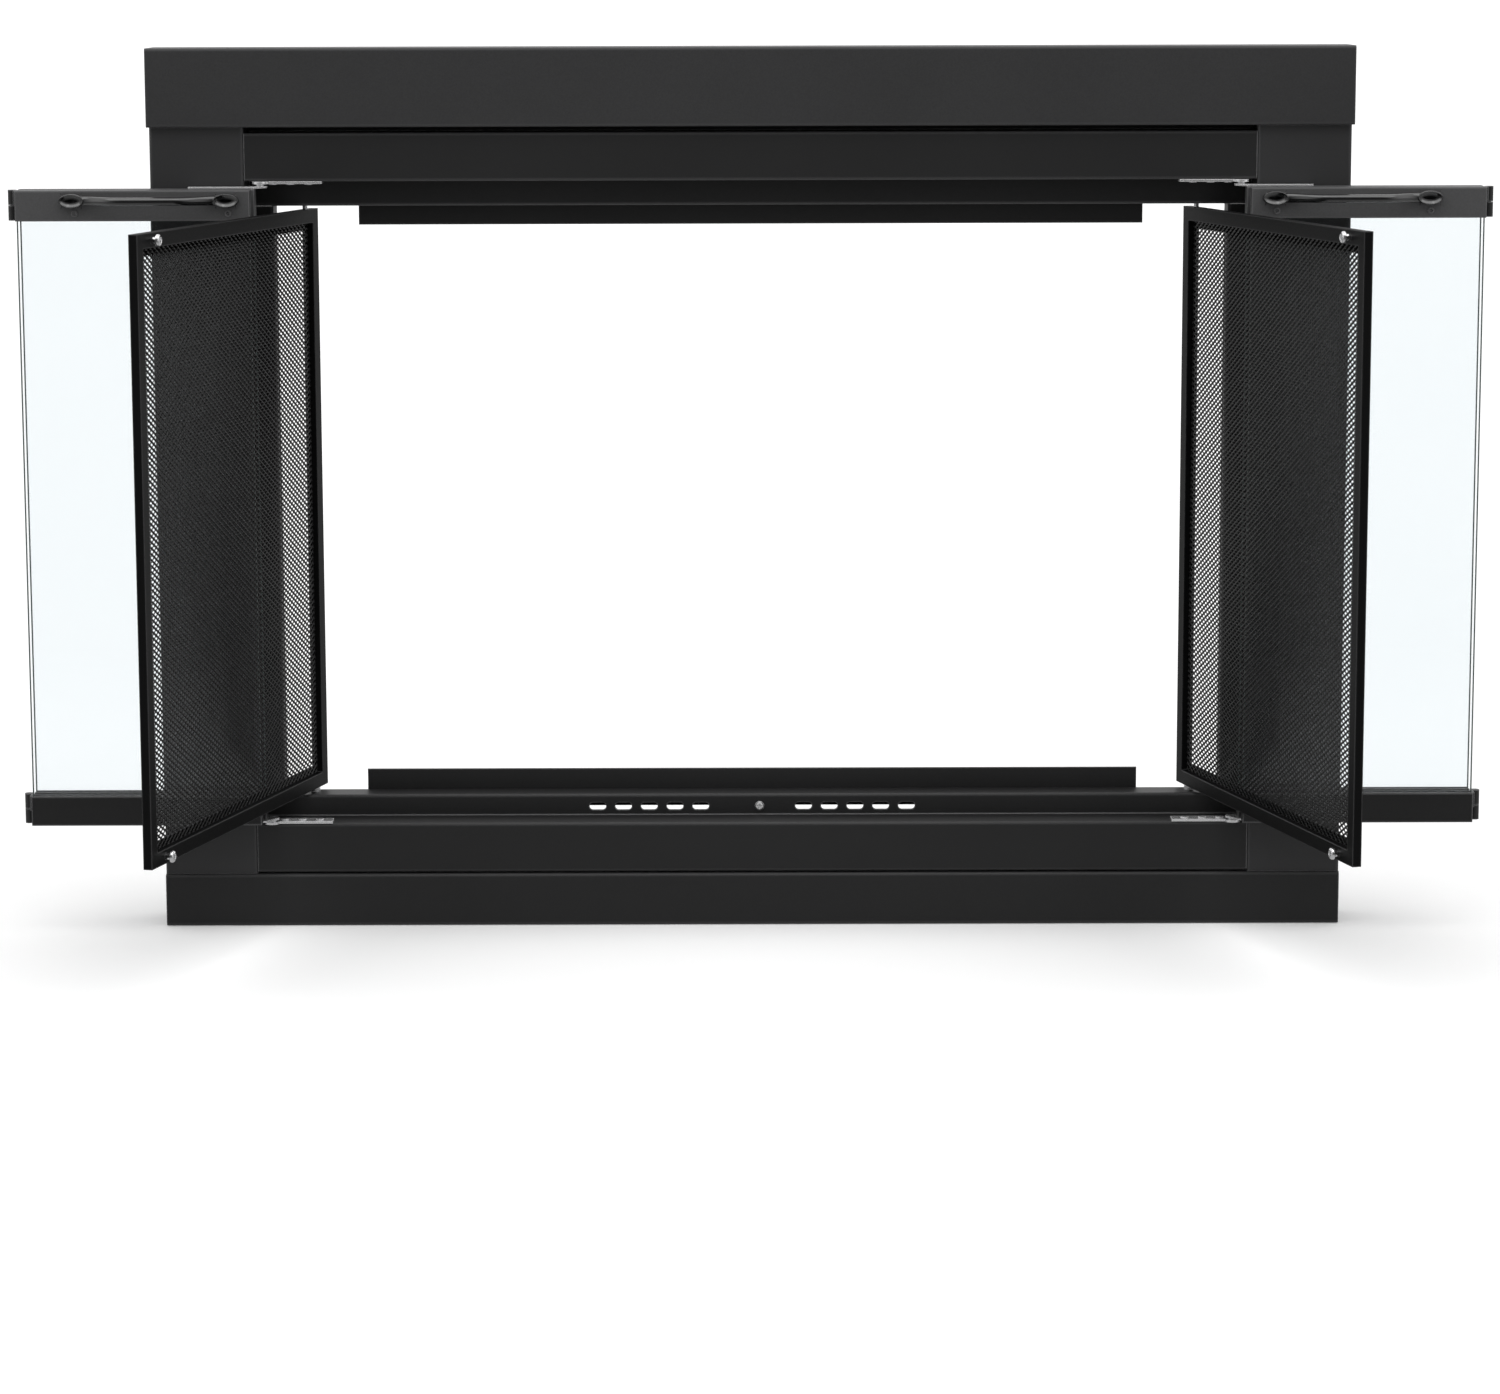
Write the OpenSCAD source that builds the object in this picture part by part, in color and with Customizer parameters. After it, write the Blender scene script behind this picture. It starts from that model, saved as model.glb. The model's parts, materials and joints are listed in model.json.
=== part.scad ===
/* [Surround] */
// How far the lintel cover reaches past the stiles
lintel_over = 1.5; // [0:0.5:10]
// Height of the lintel cover's top edge
top_z = 701; // [660:1:820]
// Height of the lintel cover's face
lintel_h = 61.6; // [50:0.1:90]
// How far the lintel cover stands proud of the stiles
lintel_proud = 6; // [4:0.5:15]
// Half width across the stiles
stile_half = 472.5; // [430:0.5:555]
// Face width of a stile
stile_w = 74.1; // [50:0.1:90]
// Height of the sill bar
sill_h = 42; // [30:1:60]
// How far the sill bar stands proud of the stiles
sill_proud = 3; // [3:0.5:12]
// Depth of the stiles and sill behind the front plane
frame_d = 52; // [46:1:70]
// Sheet steel thickness
sheet = 1.5; // [1:0.1:2]
// Outer radius of the folds
fold_r = 2.2; // [2.1:0.1:3]

/* [Stepped rails] */
// Gap between lintel cover and the top rail's face
top_gap = 4.4; // [2:0.1:8]
// Face height of the top rail
top_face_h = 38; // [30:1:50]
// Gap between the sill bar and the bottom rail's face
bottom_gap = 1; // [0.5:0.1:3]
// Face height of the bottom rail
bottom_face_h = 40; // [30:1:50]
// Depth of the step that the glass doors hang in
step_d = 35; // [30:1:40]
// Drop of the top rail's rear step
top_drop = 21; // [17:1:30]
// Rise of the bottom rail's rear step
bottom_rise = 17; // [14:1:26]
// Depth at which the mesh doors' stop strips lie
stop_y = 63; // [62:0.5:70]
// Width of a jamb's face inside the stile
jamb_w = 18.9; // [15:0.1:25]
// How far a stop strip reaches past its rail
stop_reach = 16.5; // [12:0.5:20]
// Distance from a stop strip's end to the jamb
stop_end = 65.5; // [50:0.5:120]

/* [Air slots] */
// Slots in each of the two groups
slot_count = 5; // [2:1:8]
// Slot length
slot_l = 13.4; // [8:0.1:15]
// Slot height
slot_h = 5.8; // [3:0.1:8]
// Distance from one slot to the next
slot_pitch = 20.9; // [17:0.1:24]
// Distance from the middle to the first slot
slot_first = 41.7; // [20:0.1:60]

/* [Glass doors] */
// Distance of each glass door's pivot from its stile
pivot_in = 12.4; // [11:0.1:18]
// Gap between a pivot and its leaf
pivot_gap = 3; // [2.5:0.1:5]
// Gap from the closed lead leaf to the middle
leaf_mid_gap = 7; // [5:0.5:15]
// How much narrower the lead leaf is than the side leaf
lead_less = 2; // [2:0.5:10]
// Thickness of a leaf's rails
leaf_t = 14; // [12:0.5:15]
// Height of a leaf's rails
leaf_rail_h = 24; // [20:0.5:40]
// Gap between a leaf and the stile it folds back to
leaf_off = 2; // [1:0.1:3]
// Gap between the two folded leaves
fold_gap = 4; // [3:0.1:6]
// Gap from a leaf's end to the fold axis
fold_end = 4; // [4:0.1:6]
// Thickness of the glass
glass_t = 5; // [4:0.1:8]
// How deep the glass sits in its rails
glass_seat = 10; // [6:0.5:14]
// Inset of the glass from the rails' ends
glass_inset = 1; // [0:0.1:4]
// Height between the step and a leaf's rail
leaf_gap = 5; // [4.5:0.1:8]

/* [Pivot plates] */
// Thickness of the plate on a leaf
leaf_plate_t = 1.5; // [1:0.1:2]
// Thickness of the plate on the frame
frame_plate_t = 2; // [1.5:0.1:2.5]
// Reach of the leaf's plate along its rail
leaf_plate_l = 55; // [40:1:80]
// Reach of the frame's plate inward from the pivot
frame_plate_l = 48.4; // [42:0.2:60]
// Width of the frame's plate
frame_plate_w = 14; // [12:0.5:16]
// Radius of a pivot pin
pivot_r = 3; // [2:0.1:3.5]
// Running clearance of a pin in its hole
run_fit = 0.05; // [0.02:0.01:0.09]

/* [Handles] */
// Length of a handle
handle_l = 140; // [110:1:160]
// How far a handle stands off its rail
handle_out = 20; // [14:0.5:26]
// Thickness of a handle's bar
handle_bar = 6.4; // [5:0.1:8]
// Distance of a handle from its leaf's free edge
handle_in = 8; // [4:0.5:20]
// Length of a handle's flattened end
handle_foot_l = 21; // [18:0.5:30]
// Height of a handle's flattened end
handle_foot_h = 11; // [9:0.5:14]

/* [Mesh doors] */
// Gap between a mesh door's hinge edge and its jamb
mesh_side_gap = 3.5; // [2:0.5:8]
// Depth of the mesh doors' pins
mesh_pin_y = 52; // [50:0.5:53]
// Distance from a pin to the door's hinge edge
mesh_heel = 20; // [12:0.5:20]
// Gap from the free edge to the middle
mesh_mid_gap = 2; // [1.5:0.1:4]
// Thickness of the mesh door's frame
mesh_t = 7; // [6:0.5:7]
// Face width of the mesh door's bars
mesh_bar = 11; // [8:0.5:16]
// Width of the ledge that the mesh lies on
mesh_ledge = 6; // [4:0.5:10]
// Gap above and below a mesh door
mesh_gap = 3.5; // [2.5:0.1:6]
// How far the mesh doors stand open
mesh_open = 105; // [90:1:106]
// Radius of a mesh door's pin
mesh_pin_r = 2; // [1.5:0.1:2.5]
// Diamond gaps across the mesh
mesh_nx = 6; // [3:1:8]
// Diamond gaps up the mesh
mesh_nz = 12; // [6:1:16]
// Width of a strand of the mesh
strand_w = 3; // [2:0.1:5]
// Thickness of the mesh
strand_t = 1; // [0.6:0.1:1.5]
// Distance of the studs from the free edge
stud_in = 27; // [20:0.5:60]

/* [Fixing brackets] */
// Distance of the fixing brackets from the jambs
bracket_in = 79.5; // [60:0.5:160]
// Width of a fixing bracket
bracket_w = 30; // [20:1:40]
// How far a fixing bracket reaches back
bracket_y = 110; // [90:1:140]
// Distance of a fixing hole from a bracket's end
bracket_hole_in = 15; // [12:1:25]
// Radius of a fixing hole
bracket_hole_r = 4.5; // [3:0.1:6]
// Thickness of a fixing bracket
bracket_t = 3; // [2:0.1:3.4]

/* [Hidden] */
$fn = 48;

black = [0.13, 0.13, 0.14];
dark = [0.09, 0.09, 0.1];
zinc = [0.78, 0.79, 0.8];

// Heights of the stack, from the floor up
lintel_half = stile_half + lintel_over;
lintel_z = top_z - lintel_h;
top_face_z = lintel_z - top_gap;
step_top = top_face_z - top_face_h;
top_z2 = step_top - top_drop;
bottom_face_z = sill_h + bottom_gap;
step_bot = bottom_face_z + bottom_face_h;
bot_z2 = step_bot + bottom_rise;
stile_in = stile_half - stile_w;
jamb_in = stile_in - jamb_w;
stop_half = jamb_in - stop_end;
bracket_x = jamb_in - bracket_in;
pivot_x = stile_in - pivot_in;
mesh_pin_x = jamb_in - mesh_side_gap - mesh_heel;

// Leaf heights and places
leaf_lo = step_bot + leaf_gap;
leaf_hi = step_top - leaf_gap;
side_x = pivot_x + pivot_gap;
leaf_sum = pivot_x - pivot_gap - 2 * fold_end - leaf_mid_gap;
side_w = (leaf_sum + lead_less) / 2;
lead_w = side_w - lead_less;
fold_x = side_x + side_w + fold_end;
fold_y = leaf_off + leaf_t + fold_gap / 2;
lead_x = fold_x - fold_end - lead_w;
lead_off = fold_y + fold_gap / 2;
knuckle_r = 3.5;
knuckle_h = leaf_rail_h / 2 - 0.2;
fold_pin_r = 1.8;

// Mesh door heights and places
mesh_hi = top_z2 - mesh_gap;
mesh_lo = bot_z2 + mesh_gap;
mesh_w = mesh_pin_x + mesh_heel - mesh_mid_gap;
mesh_half = mesh_t / 2;
pin_in = 9;
stud_r = 2.5;
stud_head_r = 4.5;
stud_head_h = 3;
stud_gap = 0.3;
head_h = 0.8;
rivet_r = 2.4;
rivet_head_r = 4;
plate_head_r = 3.2;
rivet_head_h = 1.2;

// A plate standing along X, given by two corners in Y and Z
module bar_x(x0, x1, y0, y1, z0, z1) {
    translate([x0, y0, z0]) cube([x1 - x0, y1 - y0, z1 - z0]);
}

// A sheet profile in Y and Z, run along X to both sides of the middle
module run_x(half) {
    rotate([90, 0, 90]) translate([0, 0, -half]) linear_extrude(2 * half) children();
}

module seg(a, b) {
    translate([min(a[0], b[0]), min(a[1], b[1])]) square([abs(b[0] - a[0]), abs(b[1] - a[1])]);
}

// One folded sheet: a path of square turns along the sheet's middle
function dir(a, b) = (b - a) / norm(b - a);
module folded(pts) {
    rc = fold_r - sheet / 2;
    n = len(pts);
    for (i = [0 : n - 2]) {
        d = dir(pts[i], pts[i + 1]);
        a = pts[i] + (i > 0 ? rc : 0) * d;
        b = pts[i + 1] - (i < n - 2 ? rc : 0) * d;
        w = sheet / 2 * [abs(d[1]), abs(d[0])];
        seg([min(a[0], b[0]), min(a[1], b[1])] - w, [max(a[0], b[0]), max(a[1], b[1])] + w);
    }
    for (i = [1 : n - 2]) {
        d1 = dir(pts[i - 1], pts[i]);
        d2 = dir(pts[i], pts[i + 1]);
        c = pts[i] + rc * (d2 - d1);
        far = c + (d1 - d2) * (fold_r + 1);
        intersection() {
            translate(c) difference() {
                circle(r = fold_r);
                circle(r = fold_r - sheet);
            }
            seg(c, far);
        }
    }
}

// An end plate that follows a channel's two rounded folds
module end_plate(y0, y1, z0, z1) {
    translate([y0 + fold_r, z0]) square([y1 - y0 - fold_r, z1 - z0]);
    translate([y0, z0 + fold_r]) square([fold_r, z1 - z0 - 2 * fold_r]);
    for (z = [z0 + fold_r, z1 - fold_r]) translate([y0 + fold_r, z]) circle(r = fold_r);
}

module channel(half, y0, y1, z0, z1) {
    m = sheet / 2;
    run_x(half) folded([[y1, z0 + m], [y0 + m, z0 + m], [y0 + m, z1 - m], [y1, z1 - m]]);
    for (s = [0, 1]) mirror([s, 0, 0]) translate([half - sheet, 0, 0])
        rotate([90, 0, 90]) linear_extrude(sheet) end_plate(y0, y1, z0, z1);
}

module cyl_x(x0, x1, y, z, r) {
    translate([x0, y, z]) rotate([0, 90, 0]) cylinder(h = x1 - x0, r = r);
}

module cyl_y(x, y0, y1, z, r) {
    translate([x, y0, z]) rotate([-90, 0, 0]) cylinder(h = y1 - y0, r = r);
}

module cyl_z(x, y, z0, z1, r) {
    translate([x, y, z0]) cylinder(h = z1 - z0, r = r);
}

module other_side() { mirror([1, 0, 0]) children(); }

// ---- surround ----

module lintel_cover() {
    color(black) channel(lintel_half, -lintel_proud, frame_d, lintel_z, top_z);
}

rivet_zs = [for (k = [0 : 2]) bot_z2 + 40 + k * (top_z2 - bot_z2 - 80) / 2];
tab_ys = [10, 25];

half_t = sheet / 2;
rear_lip = 12;

// One stile: a channel folded from sheet, open at the back
module stile() {
    color(black) difference() {
        translate([0, 0, sill_h]) linear_extrude(lintel_z - sill_h) {
            folded([[stile_in + half_t, frame_d], [stile_in + half_t, half_t], [stile_half - half_t, half_t],
                [stile_half - half_t, frame_d - half_t], [stile_half - rear_lip, frame_d - half_t]]);
        }
        stile_holes();
    }
}

module stile_holes() {
    for (z = rivet_zs) cyl_x(stile_in - 1, stile_in + sheet + 1, (step_d + sheet + frame_d) / 2, z, rivet_r);
    for (y = tab_ys, z = [top_face_z - 14, bottom_face_z + 14])
        cyl_x(stile_in - 1, stile_in + sheet + 1, y, z, rivet_r);
}

module sill_bar() {
    color(black) difference() {
        channel(stile_half, -sill_proud, frame_d, 0, sill_h);
        for (s = [-1, 1], y = bolt_ys) cyl_z(s * bracket_x, y, -1, sheet + 1, bolt_r);
    }
}

// ---- stepped rails and jambs ----

module end_tabs(z0, z1) {
    for (s = [-1, 1]) bar_x(s < 0 ? -stile_in : stile_in - sheet, s < 0 ? -stile_in + sheet : stile_in,
        sheet, step_d - 2 - sheet, z0 + fold_r, z1 - fold_r);
}

module top_rail() {
    color(black) difference() {
        union() {
            run_x(stile_in) folded([[step_d - 2 - half_t, lintel_z], [step_d - 2 - half_t, top_face_z - half_t],
                [half_t, top_face_z - half_t], [half_t, step_top + half_t], [step_d + half_t, step_top + half_t],
                [step_d + half_t, top_z2 + half_t], [stop_y - half_t, top_z2 + half_t], [stop_y - half_t, top_z2 + lip_h]]);
            end_tabs(step_top, top_face_z);
        }
        for (s = [-1, 1], y = tab_ys) cyl_x(s * stile_in - 2 * sheet, s * stile_in + 2 * sheet, y, top_face_z - 14, rivet_r);
        for (s = [-1, 1]) cyl_z(s * mesh_pin_x, mesh_pin_y, top_z2 - 1, top_z2 + sheet + 1, mesh_pin_r + run_fit);
        for (s = [-1, 1], x = plate_rivet_xs) cyl_z(s * x, plate_y, step_top - 1, step_top + sheet + 1, rivet_r);
        for (s = [-1, 1], y = bolt_ys) cyl_z(s * bracket_x, y, top_face_z - sheet - 1, top_face_z + 1, bolt_r);
        for (x = strip_rivet_xs) cyl_y(x, stop_y - sheet - 1, stop_y + 1, top_z2 + lip_h / 2, rivet_r);
    }
}

lip_h = 14;

module bottom_rail() {
    slot_z = step_bot + bottom_rise / 2 - 1.3;
    color(black) difference() {
        union() {
            run_x(stile_in) folded([[step_d - 2, bottom_face_z + half_t], [half_t, bottom_face_z + half_t],
                [half_t, step_bot - half_t], [step_d + half_t, step_bot - half_t], [step_d + half_t, bot_z2 - half_t],
                [stop_y - half_t, bot_z2 - half_t], [stop_y - half_t, bot_z2 - lip_h]]);
            end_tabs(bottom_face_z, step_bot);
        }
        for (s = [-1, 1], k = [0 : slot_count - 1])
            translate([s * (slot_first + k * slot_pitch), step_d - 1, slot_z]) rotate([-90, 0, 0])
                linear_extrude(sheet + 2) {
                    square([slot_l - slot_h, slot_h], center = true);
                    for (e = [-1, 1]) translate([e * (slot_l - slot_h) / 2, 0]) circle(d = slot_h);
                }
        cyl_y(vent_x, step_d - 1, step_d + sheet + 1, slot_z, vent_r);
        for (s = [-1, 1], y = tab_ys) cyl_x(s * stile_in - 2 * sheet, s * stile_in + 2 * sheet, y, bottom_face_z + 14, rivet_r);
        for (s = [-1, 1]) cyl_z(s * mesh_pin_x, mesh_pin_y, bot_z2 - sheet - 1, bot_z2 + 1, mesh_pin_r + run_fit);
        for (s = [-1, 1], x = plate_rivet_xs) cyl_z(s * x, plate_y, step_bot - sheet - 1, step_bot + 1, rivet_r);
        for (x = strip_rivet_xs) cyl_y(x, stop_y - sheet - 1, stop_y + 1, bot_z2 - lip_h / 2, rivet_r);
    }
}

vent_x = 6;
vent_r = 2;

module vent_screw() {
    slot_z = step_bot + bottom_rise / 2 - 1.3;
    color(black) {
        cyl_y(vent_x, step_d, step_d + sheet + 8, slot_z, vent_r);
        difference() {
            translate([vent_x, step_d, slot_z]) rotate([90, 0, 0]) cylinder(h = 2, r1 = 3.8, r2 = 2.6);
            for (a = [0, 90]) translate([vent_x, step_d - 2, slot_z]) rotate([0, a, 0]) cube([0.9, 2, 4], center = true);
        }
        cyl_y(vent_x, step_d + sheet, step_d + sheet + 3, slot_z, 3.6);
    }
}

module jamb() {
    color(black) difference() {
        translate([0, 0, bot_z2]) linear_extrude(top_z2 - bot_z2) {
            folded([[stile_in - half_t, frame_d], [stile_in - half_t, step_d + half_t],
                [jamb_in + half_t, step_d + half_t], [jamb_in + half_t, stop_y]]);
        }
        for (z = rivet_zs) cyl_x(stile_in - sheet - 1, stile_in + 1, (step_d + sheet + frame_d) / 2, z, rivet_r);
    }
}

strip_rivet_xs = [for (k = [-2 : 2]) k * (stop_half - 30) / 2];

module stop_strip(z0, z1, zr) {
    color(dark) difference() {
        bar_x(-stop_half, stop_half, stop_y, stop_y + sheet, z0, z1);
        for (x = strip_rivet_xs) cyl_y(x, stop_y - 1, stop_y + sheet + 1, zr, rivet_r);
    }
}
module top_stop_strip() { stop_strip(top_z2 - stop_reach, top_z2 + lip_h - 1, top_z2 + lip_h / 2); }
module bottom_stop_strip() { stop_strip(bot_z2 - lip_h + 1, bot_z2 + stop_reach, bot_z2 - lip_h / 2); }

module strip_rivets() {
    color(dark) for (x = strip_rivet_xs, z = [top_z2 + lip_h / 2, bot_z2 - lip_h / 2]) {
        cyl_y(x, stop_y - sheet, stop_y + sheet, z, rivet_r);
        cyl_y(x, stop_y + sheet, stop_y + sheet + rivet_head_h, z, rivet_head_r);
        cyl_y(x, stop_y - sheet - rivet_head_h, stop_y - sheet, z, rivet_head_r);
    }
}

module frame_rivets() {
    color(dark) for (s = [0, 1]) mirror([s, 0, 0]) {
        for (z = rivet_zs) frame_rivet((step_d + sheet + frame_d) / 2, z);
        for (y = tab_ys, z = [top_face_z - 14, bottom_face_z + 14]) frame_rivet(y, z);
    }
}
module frame_rivet(y, z) {
    cyl_x(stile_in - sheet, stile_in + sheet, y, z, rivet_r);
    cyl_x(stile_in + sheet, stile_in + sheet + rivet_head_h, y, z, rivet_head_r);
    cyl_x(stile_in - sheet - rivet_head_h, stile_in - sheet, y, z, rivet_head_r);
}

// ---- pivot plates on the frame ----

plate_y = frame_plate_w / 2;
plate_rivet_xs = [for (k = [0 : 2]) pivot_x - frame_plate_l + 11 + k * 14];

// A flat strip under the step, with a rounded end round the pivot
module pivot_plate(z0) {
    color(zinc) difference() {
        translate([0, 0, z0]) linear_extrude(frame_plate_t) {
            translate([pivot_x - frame_plate_l, 0]) square([frame_plate_l - 8, frame_plate_w]);
            difference() {
                translate([pivot_x - 12, 0]) square([12, frame_plate_w]);
                translate([pivot_x - 3, frame_plate_w + 6]) circle(r = 9);
            }
            translate([pivot_x, 0]) circle(r = 6);
        }
        cyl_z(pivot_x, 0, z0 - 1, z0 + frame_plate_t + 1, pivot_r + run_fit);
        for (x = plate_rivet_xs) cyl_z(x, plate_y, z0 - 1, z0 + frame_plate_t + 1, rivet_r);
    }
}
module upper_pivot_plate() { pivot_plate(step_top - frame_plate_t); }
module lower_pivot_plate() { pivot_plate(step_bot); }

module plate_rivets() {
    color(zinc) for (s = [-1, 1], x = plate_rivet_xs) {
        cyl_z(s * x, plate_y, step_top - frame_plate_t, step_top + sheet, rivet_r);
        cyl_z(s * x, plate_y, step_top - frame_plate_t - head_h, step_top - frame_plate_t, plate_head_r);
        cyl_z(s * x, plate_y, step_top + sheet, step_top + sheet + rivet_head_h, rivet_head_r);
        cyl_z(s * x, plate_y, step_bot - sheet, step_bot + frame_plate_t, rivet_r);
        cyl_z(s * x, plate_y, step_bot + frame_plate_t, step_bot + frame_plate_t + head_h, plate_head_r);
        cyl_z(s * x, plate_y, step_bot - sheet - rivet_head_h, step_bot - sheet, rivet_head_r);
    }
}

// ---- brackets that fix the frame to the fireplace ----

bolt_r = 3;
bolt_ys = [12, 25];
lintel_strap_z = top_face_z - sheet - bracket_t;

module bracket_holes(z0) {
    for (y = bolt_ys) cyl_z(bracket_x, y, z0 - 9, z0 + 9, bolt_r);
    cyl_z(bracket_x, bracket_y - bracket_hole_in, z0 - 9, z0 + 9, bracket_hole_r);
}

module floor_bracket() {
    color(zinc) difference() {
        rotate([90, 0, 90]) translate([0, 0, bracket_x - bracket_w / 2]) linear_extrude(bracket_w)
            polygon([[4, sheet], [frame_d + 1, sheet], [frame_d + 3, 0], [bracket_y, 0], [bracket_y, bracket_t],
                [frame_d + 4, bracket_t], [frame_d + 2, sheet + bracket_t], [4, sheet + bracket_t]]);
        bracket_holes(0);
    }
}

module lintel_bracket() {
    color(zinc) difference() {
        bar_x(bracket_x - bracket_w / 2, bracket_x + bracket_w / 2, 4, bracket_y, lintel_strap_z, lintel_strap_z + bracket_t);
        bracket_holes(lintel_strap_z);
    }
}

module bracket_bolts() {
    color(zinc) for (s = [-1, 1], y = bolt_ys) {
        cyl_z(s * bracket_x, y, 0, sheet + bracket_t, bolt_r);
        translate([s * bracket_x, y, sheet + bracket_t]) cylinder(h = 4, r = 5.5, $fn = 6);
        cyl_z(s * bracket_x, y, lintel_strap_z, top_face_z, bolt_r);
        translate([s * bracket_x, y, lintel_strap_z - 4]) cylinder(h = 4, r = 5.5, $fn = 6);
    }
}

// ---- glass leaves, at rest folded back against the stile ----

glass_lo = leaf_lo + leaf_rail_h - glass_seat;
glass_hi = leaf_hi - leaf_rail_h + glass_seat;

rail_r = 1.2;
module rounded(y0, y1, z0, z1, r) {
    translate([y0 + r, z0]) square([y1 - y0 - 2 * r, z1 - z0]);
    translate([y0, z0 + r]) square([y1 - y0, z1 - z0 - 2 * r]);
    for (y = [y0 + r, y1 - r], z = [z0 + r, z1 - r]) translate([y, z]) circle(r = r);
}

// One rail, with a groove for the glass; up is 1 when the groove opens upward
module leaf_rail(x, w, y, z, up) {
    color(black) difference() {
        rotate([90, 0, 90]) translate([0, 0, x]) linear_extrude(w)
            rounded(-y - leaf_t, -y, z, z + leaf_rail_h, rail_r);
        bar_x(x - 1, x + w + 1, -y - (leaf_t + glass_t) / 2, -y - (leaf_t - glass_t) / 2,
            up > 0 ? z + leaf_rail_h - glass_seat : z - 1, up > 0 ? z + leaf_rail_h + 1 : z + glass_seat);
        children();
    }
}

module leaf_glass(x, w, y) {
    color([0.8, 0.9, 0.95, 0.35])
        bar_x(x + glass_inset, x + w - glass_inset, -y - (leaf_t + glass_t) / 2, -y - (leaf_t - glass_t) / 2, glass_lo, glass_hi);
}

module side_glass() { leaf_glass(side_x, side_w, leaf_off); }
module lead_glass() { leaf_glass(lead_x, lead_w, lead_off); }
module side_top_rail() { leaf_rail(side_x, side_w, leaf_off, leaf_hi - leaf_rail_h, -1); }
module side_bottom_rail() { leaf_rail(side_x, side_w, leaf_off, leaf_lo, 1); }
module lead_top_rail() {
    leaf_rail(lead_x, lead_w, lead_off, leaf_hi - leaf_rail_h, -1)
        for (x = handle_xs) cyl_y(x, -lead_off - leaf_t - 1, -lead_off - leaf_t + handle_screw_in, handle_z, handle_screw_r);
}
module lead_bottom_rail() { leaf_rail(lead_x, lead_w, lead_off, leaf_lo, 1); }

// The plate that carries a side leaf, with its pivot pin; up is 1 for the upper one
module leaf_hinge(up) {
    z = up > 0 ? leaf_hi : leaf_lo - leaf_plate_t;
    color(zinc) {
        translate([0, 0, z]) linear_extrude(leaf_plate_t) {
            translate([pivot_x + pivot_gap + 0.5, -leaf_off - leaf_t / 2 - 5]) square([leaf_plate_l - pivot_gap - 0.5, 10]);
            translate([pivot_x, 0]) circle(r = 5.5);
            polygon([[pivot_x - 5, -2.3], [pivot_x + 2, 5.1], [pivot_x + 12, -leaf_off - leaf_t / 2 + 5],
                [pivot_x + 12, -leaf_off - leaf_t / 2 - 5], [pivot_x + pivot_gap + 0.5, -leaf_off - leaf_t / 2 - 5]]);
        }
        if (up > 0) cyl_z(pivot_x, 0, leaf_hi, step_top - pin_under, pivot_r);
        else cyl_z(pivot_x, 0, step_bot + pin_under, leaf_lo, pivot_r);
    }
}
pin_under = 0.2;

// Fold hinge: a knuckle on each leaf's end, one above the other, on a common pin
module knuckle(side, z0, z1) {
    x = fold_x;
    y = side > 0 ? leaf_off + leaf_t : lead_off;
    difference() {
        union() {
            cyl_z(x, -fold_y, z0, z1, knuckle_r);
            translate([x - fold_end, 0, z0]) linear_extrude(z1 - z0)
                if (side > 0) translate([0, -leaf_off - leaf_t]) square([sheet, leaf_t - 2]);
                else translate([0, -lead_off - leaf_t + 2]) square([sheet, leaf_t - 2]);
            translate([x - fold_end, side > 0 ? -leaf_off - leaf_t : -lead_off - 1.5, z0])
                cube([fold_end, 1.5, z1 - z0]);
        }
        if (side > 0) cyl_z(x, -fold_y, z0 - 1, z1 + 1, fold_pin_r + run_fit);
    }
}
module fold_side_halves() {
    color(black) {
        knuckle(1, leaf_hi - leaf_rail_h, leaf_hi - leaf_rail_h + knuckle_h);
        knuckle(1, leaf_lo, leaf_lo + knuckle_h);
    }
}
module fold_lead_halves() {
    color(black) for (z = [leaf_hi - leaf_rail_h, leaf_lo]) {
        knuckle(-1, z + leaf_rail_h - knuckle_h, z + leaf_rail_h);
        cyl_z(fold_x, -fold_y, z + 0.5, z + leaf_rail_h, fold_pin_r);
    }
}

// ---- handle: a slender bow with flattened oval ends ----

handle_mid = lead_x + handle_in + handle_l / 2;
handle_z = leaf_hi - 8;
handle_xs = [for (s = [-1, 1]) handle_mid + s * (handle_l / 2 - handle_foot_l / 2)];
handle_screw_r = 1.8;
handle_screw_in = 3.5;
handle_y = -lead_off - leaf_t;

// The bar's middle line: distance along from the handle's middle, distance out
module bead(along, out, d) {
    translate([handle_mid + along, handle_y - out, handle_z]) sphere(d = d, $fn = 20);
}

module handle() {
    foot = handle_l / 2 - handle_foot_l / 2;
    top_out = handle_out - handle_bar / 2;
    color(black) difference() {
        for (s = [-1, 1]) {
            // the flattened end, seated on the rail
            hull() {
                translate([handle_mid + s * foot, handle_y, handle_z]) rotate([90, 0, 0])
                    scale([handle_foot_l / handle_foot_h, 1, 1]) cylinder(h = 2.2, d = handle_foot_h, $fn = 40);
                translate([handle_mid + s * foot, handle_y, handle_z]) rotate([90, 0, 0])
                    scale([handle_foot_l / handle_foot_h, 1, 1]) cylinder(h = 3.6, d = handle_foot_h * 0.66, $fn = 40);
                bead(s * (foot - handle_foot_l * 0.42), 4, handle_bar);
            }
            hull() {
                bead(s * (foot - handle_foot_l * 0.42), 4, handle_bar);
                bead(s * (foot - handle_foot_l * 1.05), top_out - 2, handle_bar * 0.95);
            }
            hull() {
                bead(s * (foot - handle_foot_l * 1.05), top_out - 2, handle_bar * 0.95);
                bead(0, top_out, handle_bar * 0.86);
            }
        }
        for (x = handle_xs) cyl_y(x, handle_y - handle_screw_out, handle_y + 1, handle_z, handle_screw_r);
    }
}
handle_screw_out = 2.5;

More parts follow.
